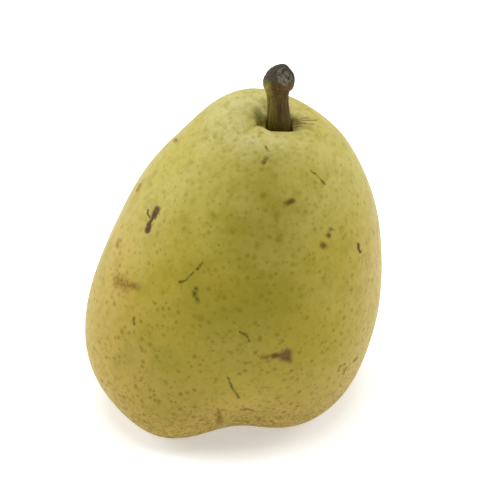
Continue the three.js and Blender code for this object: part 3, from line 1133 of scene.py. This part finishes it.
@dataclass
class Stem:
    """The woody stem: its root in the flesh, a ribbed neck, and a knob that ends in a round scar."""

    line: StemLine
    outline: tuple[Pair, ...] = (
        (0, 0), (1.8, 0.012), (2.5, 0.07), (3.1, 0.27), (3, 0.38), (2.85, 0.5), (2.95, 0.62), (3.5, 0.74),
        (3.95, 0.84), (4, 0.91), (3.5, 0.97), (2.9, 1), (2.4, 0.99), (1.2, 0.975), (0, 0.97),
    )
    length: float = 30
    sides: int = 120
    gap: float = 0.2
    rib_count: int = 5
    rib_height: float = 0.12
    rib_twist: float = 4
    rib_fade: float = 2
    bump_turn: float = 190
    bump_share: float = 0.75
    bump_width: float = 0.1
    bump_spread: float = 55
    bump_height: float = 0.7
    bundles: int = 7
    bundle_ring: float = 1.25
    bundle_radius: float = 0.28
    bundle_depth: float = 0.3
    ring_depth: float = 0.12
    rings: float = 3.6
    furrow_depth: float = 0.16
    crack_depth: float = 0.3
    knob_start: float = 0.66
    knob_run: float = 0.2
    green_foot: Triple = (-3, -1.5, 3)

    def build(self, foot: np.ndarray) -> tuple[bpy.types.Object, np.ndarray]:
        """Makes the stem.

        Args:
            foot: The floor of the pit, where the stem's line is measured from.

        Returns:
            The stem, and the middle of the bump on its knob.
        """
        knots = [(radius, share * self.length) for radius, share in self.outline]
        skin = turn_outline(smooth_line(knots, self.gap, 3), self.sides)
        mesh = bpy.data.meshes.new("pear_stem")
        skin.to_mesh(mesh)
        skin.free()
        upright = positions(mesh)
        share = np.clip(upright[:, 2] / self.length, 0, 1)
        radius, turn = np.hypot(upright[:, 0], upright[:, 1]), np.arctan2(upright[:, 1], upright[:, 0])
        aside = turn - math.radians(self.bump_turn)
        aside = np.arctan2(np.sin(aside), np.cos(aside))
        bump = bell(aside, math.radians(self.bump_spread)) * bell(share - self.bump_share, self.bump_width)
        rib = self.rib_height * np.cos(self.rib_count * turn + self.rib_twist * share)
        swell = (rib + self.bump_height * bump) * np.minimum(1, radius / self.rib_fade)
        on_end = ease(share, 0.962, 0.968) * ease(-radius, -2.75, -2.4)
        bark = self.wrinkle(upright, share) * (1 - on_end) * ease(radius, 0.5, 2)
        reach = np.where(radius > WELD, radius + swell - bark, 0)
        points = self.bend(share, turn, reach)
        dots = self.bundle_mask(upright) * on_end
        sunk = self.bundle_depth * dots + on_end * self.ring_depth * np.cos(radius * self.rings)
        points -= self.line.heading(share) * np.maximum(sunk, 0)[:, None]
        for name, values in (("along", share), ("end", on_end), ("bundle", dots)):
            mesh.attributes.new(name, "FLOAT", "POINT").data.foreach_set("value", values.astype(np.float32))
        high = np.array((self.bump_share,))
        knob = self.bend(high, np.radians((self.bump_turn,)), np.array((4.2,)))[0] + foot
        return finish_piece("pear_stem", mesh, points + foot, "stem"), knob

    def bend(self, share: np.ndarray, turn: np.ndarray, reach: np.ndarray) -> np.ndarray:
        """Bends the upright stem along its line.

        Args:
            share: How far along the line each point is.
            turn: Its turn round the line, in radians.
            reach: How far out from the line it is.

        Returns:
            The points, measured from the floor of the pit.
        """
        heading = self.line.heading(share)
        out = np.stack([np.cos(turn), np.sin(turn), np.zeros(len(turn))], 1) * reach[:, None]
        axis = np.cross((0, 0, 1), heading)
        once = np.cross(axis, out)
        return self.line.at(share) + out + once + np.cross(axis, once) / (1 + heading[:, 2:])

    def wrinkle(self, upright: np.ndarray, share: np.ndarray) -> np.ndarray:
        """Works out the bark's long furrows and the knob's cracks.

        Args:
            upright: The points of the upright stem.
            share: How far along the stem they are.

        Returns:
            How deep the bark is sunk at each point.
        """
        depth = np.empty(len(upright))
        for index, (x, y, z) in enumerate(upright):
            furrow = noise.fractal(Vector((x * 0.9, y * 0.9, z * 0.12)), 0.8, 2.1, 3)
            crack = noise.fractal(Vector((x * 0.8 + 9, y * 0.8, z * 0.6)), 0.7, 2.2, 3)
            on_knob = min(1, max(0, (share[index] - self.knob_start) / self.knob_run))
            depth[index] = self.furrow_depth * abs(furrow) + self.crack_depth * abs(crack) * on_knob
        return depth

    def bundle_mask(self, upright: np.ndarray) -> np.ndarray:
        """Finds the small, uneven pits that the sap bundles leave in the scar.

        Args:
            upright: The points of the upright stem.

        Returns:
            1 in a pit and 0 elsewhere.
        """
        drawn = np.zeros(len(upright))
        for index in range(self.bundles):
            turn = math.tau * (index + 0.35 * math.sin(4.0 * index)) / self.bundles
            ring = self.bundle_ring * (1 + 0.35 * math.cos(9.0 * index))
            spot = (ring * math.cos(turn), ring * math.sin(turn))
            radius = self.bundle_radius * (1 + 0.4 * math.sin(6.0 * index))
            away = np.hypot(*(upright[:, :2] - spot).T) / radius
            drawn = np.maximum(drawn, ease(-away, -1.4, -0.5))
        return drawn


@dataclass(frozen=True)
class DryFinish:
    """Dried, nearly black flower remains, with paler veins."""

    dark: Triple = (0.035, 0.022, 0.013)
    light: Triple = (0.16, 0.1, 0.05)
    vein_height: float = 0.15

    def apply(self, piece: bpy.types.Object) -> None:
        """Dresses the calyx.

        Args:
            piece: The calyx.
        """
        shade = Shader("pear_dry_calyx")
        place = shade.place
        veins = shade.noise(shade.stray(place, 1, 0.3), 0.35, 4, 0.65)
        colour = shade.mix(shade.band(veins, 0.4, 0.65), self.dark, self.light)
        rough = shade.band(veins, 0.3, 0.7, 0.7, 0.85)
        shade.dress(colour, rough, shade.sum("MULTIPLY", veins, self.vein_height), piece)


@dataclass
class Calyx:
    """What is left of the flower: a cup, five curled sepals, five styles and some stamens."""

    seat: float = 8.5
    cup: tuple[Pair, ...] = (
        (0, 4.5), (1.9, 4.3), (2.5, 3), (2.6, 0), (3.3, -1.3), (3.2, -2.1), (2.4, -2.1), (1.9, -0.8),
        (0, -0.5),
    )
    cup_sides: int = 48
    sepals: int = 5
    sepal_root: float = 2.6
    sepal_drop: float = 1.5
    sepal_length: float = 5
    sepal_thickness: float = 0.4
    blade_thickness: float = 0.25
    sepal_droop: float = 48
    sepal_curl: float = 22
    root_half: float = 1.2
    belly_half: float = 1.9
    belly_at: float = 0.45
    tip_half: float = 0.3
    smallest: float = 0.8
    style_ring: float = 0.85
    style_radius: float = 0.3
    style_length: float = 2.3
    stamens: int = 14
    thread_start: float = -0.6
    stamen_ring: float = 2.1
    stamen_radius: float = 0.13
    stamen_length: float = 1.7

    def build(self, ground: Ground) -> bpy.types.Object:
        """Makes the calyx and puts it in the base hollow.

        Args:
            ground: Where the fruit stands.

        Returns:
            The calyx.
        """
        whole = turn_outline(smooth_line(list(self.cup)[::-1], 0.3, 2), self.cup_sides)
        for index in range(self.sepals):
            share = (index * 2) % self.sepals / (self.sepals - 1)
            size = self.smallest + (1 - self.smallest) * share
            self.add_sepal(whole, size, index)
            turn = math.tau * (index + 0.5) / self.sepals
            self.add_thread(whole, turn, self.style_ring, self.style_radius, self.style_length, 6)
        for index in range(self.stamens):
            turn = math.tau * (index + 0.3 * math.sin(7.0 * index)) / self.stamens
            length = self.stamen_length * (0.8 + 0.2 * math.cos(5.0 * index))
            self.add_thread(whole, turn, self.stamen_ring, self.stamen_radius, length, 24)
        mesh = bpy.data.meshes.new("pear_calyx")
        whole.to_mesh(mesh)
        whole.free()
        return finish_piece(
            "pear_calyx", mesh, ground.place(positions(mesh) + (0, 0, self.seat)), "calyx"
        )

    def add_sepal(self, whole: bmesh.types.BMesh, size: float, index: int) -> None:
        """Adds one thin, pointed sepal that droops from the cup's rim and curls at its tip.

        Args:
            whole: What the calyx has so far.
            size: The sepal's size, where 1 is the largest.
            index: Which sepal it is, counted round the cup.
        """
        blade = bmesh.new()
        bmesh.ops.create_grid(blade, x_segments=18, y_segments=8, size=1)
        for vert in blade.verts:
            along, aside = (vert.co.x + 1) / 2, vert.co.y
            half = self.root_half * (1 - along) ** 2 + 2 * self.belly_half * along * (1 - along)
            half += self.tip_half * along**2
            run = (2 * along * (1 - along) * self.belly_at + along**2) * size
            bend = math.radians(self.sepal_droop - self.sepal_curl * run)
            lift = 0.5 * aside**2 * half / self.belly_half - self.sepal_thickness
            lift -= 0.12 * (1 + math.sin(9 * run + 2.1 * index)) * aside**2
            vert.co.x = self.sepal_root + self.sepal_length * run * math.cos(bend)
            vert.co.y = aside * half * size * (1 - 0.08 * math.sin(11 * run + index))
            vert.co.z = -self.sepal_drop - self.sepal_length * run * math.sin(bend) + lift * math.cos(bend)
        bmesh.ops.recalc_face_normals(blade, faces=blade.faces)
        whole_blade = blade.verts[:] + blade.edges[:] + blade.faces[:]
        bmesh.ops.solidify(blade, geom=whole_blade, thickness=self.blade_thickness)
        turn = Matrix.Rotation(math.tau * index / self.sepals, 3, "Z")
        bmesh.ops.rotate(blade, verts=blade.verts, cent=(0, 0, 0), matrix=turn)
        bmesh.ops.recalc_face_normals(blade, faces=blade.faces)
        self.join(whole, blade)

    def add_thread(
        self, whole: bmesh.types.BMesh, turn: float, ring: float, radius: float, length: float, splay: float
    ) -> None:
        """Adds a dry style or stamen that hangs from the cup, with a small head.

        Args:
            whole: What the calyx has so far.
            turn: Where it is round the cup, in radians.
            ring: How far from the cup's axis it starts.
            radius: Its own radius.
            length: Its length.
            splay: How far it splays out, in degrees.
        """
        thread = bmesh.new()
        bmesh.ops.create_cone(
            thread,
            cap_ends=True,
            segments=8,
            radius1=radius * 0.7,
            radius2=radius,
            depth=length,
            matrix=Matrix.Translation((0, 0, -length / 2)),
        )
        bmesh.ops.create_icosphere(
            thread, subdivisions=1, radius=radius * 1.5, matrix=Matrix.Translation((0, 0, -length))
        )
        place = Matrix.Rotation(turn, 4, "Z") @ Matrix.Translation((ring, 0, self.thread_start))
        place = place @ Matrix.Rotation(math.radians(-splay), 4, "Y")
        bmesh.ops.transform(thread, matrix=place, verts=thread.verts)
        self.join(whole, thread)

    def join(self, whole: bmesh.types.BMesh, part: bmesh.types.BMesh) -> None:
        """Adds a part to the whole, and frees it.

        Args:
            whole: What the calyx has so far.
            part: The part to add.
        """
        carrier = bpy.data.meshes.new("carrier")
        part.to_mesh(carrier)
        part.free()
        whole.from_mesh(carrier)
        bpy.data.meshes.remove(carrier)


@dataclass(frozen=True)
class SoftBox:
    """A wide, soft light: its name, place and size in metres, and its power in watts."""

    name: str
    place: Triple
    size: float
    power: float
    target: Triple = (0, 0, 0.045)

    def make(self) -> None:
        """Makes the light, turned to the pear."""
        light = bpy.data.lights.new(self.name, "AREA")
        light.shape = "DISK"
        light.size = self.size
        light.energy = self.power
        holder = bpy.data.objects.new(self.name, light)
        bpy.context.scene.collection.objects.link(holder)
        holder.location = self.place
        away = Vector(self.place) - Vector(self.target)
        holder.rotation_euler = away.to_track_quat("Z", "Y").to_euler()


@dataclass
class Studio:
    """A white table with soft light from above and both sides."""

    lights: tuple[SoftBox, ...] = (
        SoftBox("top_light", (0, 0.05, 1.1), 0.9, 10.0),
        SoftBox("left_light", (-0.9, 0.2, 0.4), 0.7, 6.0),
        SoftBox("right_light", (0.9, 0.3, 0.4), 0.7, 5.5),
    )
    floor_half: float = 3
    floor_tone: Triple = (0.85, 0.85, 0.85)
    floor_glow: float = 0.42
    sky: float = 0.24

    def build(self) -> None:
        """Makes the table, the lights and the light of the room."""
        table = bmesh.new()
        bmesh.ops.create_grid(table, x_segments=1, y_segments=1, size=self.floor_half)
        mesh = bpy.data.meshes.new("floor")
        table.to_mesh(mesh)
        table.free()
        floor = bpy.data.objects.new("floor", mesh)
        bpy.context.scene.collection.objects.link(floor)
        material = bpy.data.materials.new("white_table")
        material.use_nodes = True
        surface = material.node_tree.nodes["Principled BSDF"]
        surface.inputs["Base Color"].default_value = (*self.floor_tone, 1)
        surface.inputs["Roughness"].default_value = 0.9
        surface.inputs["Emission Color"].default_value = (1, 1, 1, 1)
        surface.inputs["Emission Strength"].default_value = self.floor_glow
        mesh.materials.append(material)
        for light in self.lights:
            light.make()
        world = bpy.data.worlds.new("room")
        world.use_nodes = True
        world.node_tree.nodes["Background"].inputs["Color"].default_value = (1, 1, 1, 1)
        world.node_tree.nodes["Background"].inputs["Strength"].default_value = self.sky
        bpy.context.scene.world = world
        bpy.context.scene.view_settings.view_transform = "Standard"


def main() -> None:
    """Builds the pear and its studio, in order."""
    logging.basicConfig(level=logging.INFO, format="%(name)s: %(message)s")
    view, line, fruit = Viewpoint(), StemLine(), Fruit(Growth())
    piece, ground, strokes = fruit.build(line, view)
    foot = ground.place((0, 0, fruit.seat))[0]
    calyx = Calyx()
    hollow = ground.place((0, 0, calyx.seat))[0]
    SkinFinish().apply(piece, strokes, view, tuple(foot), tuple(hollow))
    stem_shape = Stem(line)
    stem, knob = stem_shape.build(foot)
    BarkFinish().apply(stem, tuple(knob), tuple(foot + stem_shape.green_foot))
    DryFinish().apply(calyx.build(ground))
    view.make_camera()
    Studio().build()


if __name__ == "__main__":
    main()
